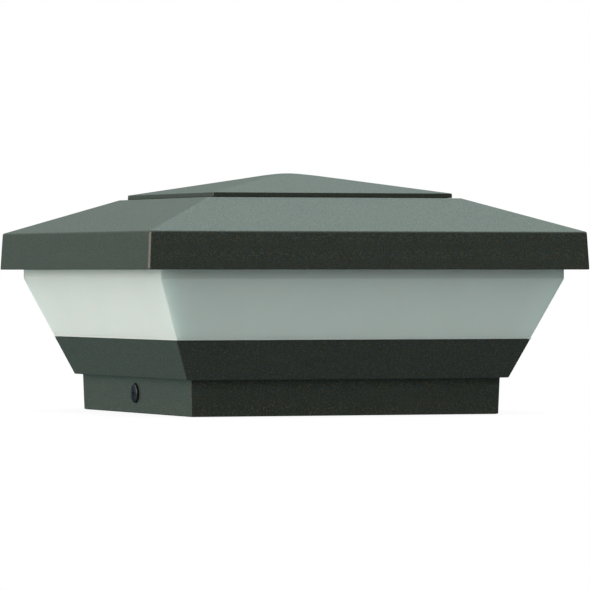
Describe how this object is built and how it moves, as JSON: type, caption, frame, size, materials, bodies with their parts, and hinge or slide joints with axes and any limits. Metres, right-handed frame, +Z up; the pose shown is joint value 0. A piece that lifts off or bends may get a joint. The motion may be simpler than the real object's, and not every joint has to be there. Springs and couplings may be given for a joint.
{
  "type": "post cap light",
  "caption": "Square post cap light with a low pyramid roof, a tapered frosted lens band and a socket collar that drops over a timber post.",
  "frame": {"origin": "centre of the collar's lower rim", "axes": "+Z up, out of the roof's peak; -Y the front; -X and +X the two sides with a fixing screw"},
  "size_m": [0.138, 0.138, 0.072],
  "materials": {
    "bronze_paint": "dark bronze textured powder coat",
    "frosted_lens": "frosted polycarbonate",
    "dark_steel": "black oxide",
    "zinc_steel": "zinc plated",
    "black_rubber": "matte",
    "grey_pad": "matte",
    "board_white": "white solder mask",
    "board_green": "green solder mask",
    "led_yellow": "gloss",
    "reflector_white": "satin",
    "case_black": "matte",
    "resin_black": "gloss",
    "terminal_grey": "matte",
    "brass": "satin",
    "wire_red": "satin",
    "wire_black": "satin"
  },
  "bodies": {
    "housing": {"assembly_screw_1": "zinc_steel", "assembly_screw_2": "zinc_steel", "assembly_screw_3": "zinc_steel", "assembly_screw_4": "zinc_steel", "base_casting": "bronze_paint", "board_screw_1": "zinc_steel", "board_screw_2": "zinc_steel", "board_screw_3": "zinc_steel", "board_screw_4": "zinc_steel", "cable_grommet": "black_rubber", "driver_board": "board_green", "driver_case": "case_black", "driver_resin": "resin_black", "driver_screw_1": "zinc_steel", "driver_screw_2": "zinc_steel", "led_1": "led_yellow", "led_2": "led_yellow", "led_3": "led_yellow", "led_4": "led_yellow", "led_5": "led_yellow", "led_6": "led_yellow", "led_7": "led_yellow", "led_8": "led_yellow", "led_board": "board_white", "led_wire_black": "wire_black", "led_wire_red": "wire_red", "lens": "frosted_lens", "lens_foot_gasket": "black_rubber", "lens_top_gasket": "black_rubber", "peak_plate": "bronze_paint", "peak_screw_1": "zinc_steel", "peak_screw_2": "zinc_steel", "peak_screw_3": "zinc_steel", "peak_screw_4": "zinc_steel", "peak_seal": "black_rubber", "reflector": "reflector_white", "reflector_screw_1": "zinc_steel", "reflector_screw_2": "zinc_steel", "roof_casting": "bronze_paint", "supply_wire_1": "wire_black", "supply_wire_2": "wire_black", "terminal_block": "terminal_grey", "terminal_screw_1": "brass", "terminal_screw_2": "brass", "thermal_pad": "grey_pad", "wire_bush": "black_rubber"},
    "left_washer": {"fixing_washer_left": "black_rubber"},
    "left_screw": {"fixing_screw_left": "dark_steel"},
    "right_washer": {"fixing_washer_right": "black_rubber"},
    "right_screw": {"fixing_screw_right": "dark_steel"}
  },
  "joints": [
    {"name": "left_screw_travel", "type": "slide", "parent": "housing", "child": "left_washer", "axis": [-1, 0, 0], "range_m": [0, 0.011]},
    {"name": "left_screw_turn", "type": "hinge", "parent": "left_washer", "child": "left_screw", "pos_m": [-0.0486, 0, 0.0059], "axis": [-1, 0, 0], "range_deg": [0, 3600]},
    {"name": "right_screw_travel", "type": "slide", "parent": "housing", "child": "right_washer", "axis": [1, 0, 0], "range_m": [0, 0.011]},
    {"name": "right_screw_turn", "type": "hinge", "parent": "right_washer", "child": "right_screw", "pos_m": [0.0486, 0, 0.0059], "axis": [1, 0, 0], "range_deg": [0, 3600]}
  ],
  "couplings": [
    {"joint": "left_screw_turn", "follows": "left_screw_travel", "rad_per_m": 5712},
    {"joint": "right_screw_turn", "follows": "right_screw_travel", "rad_per_m": 5712}
  ]
}
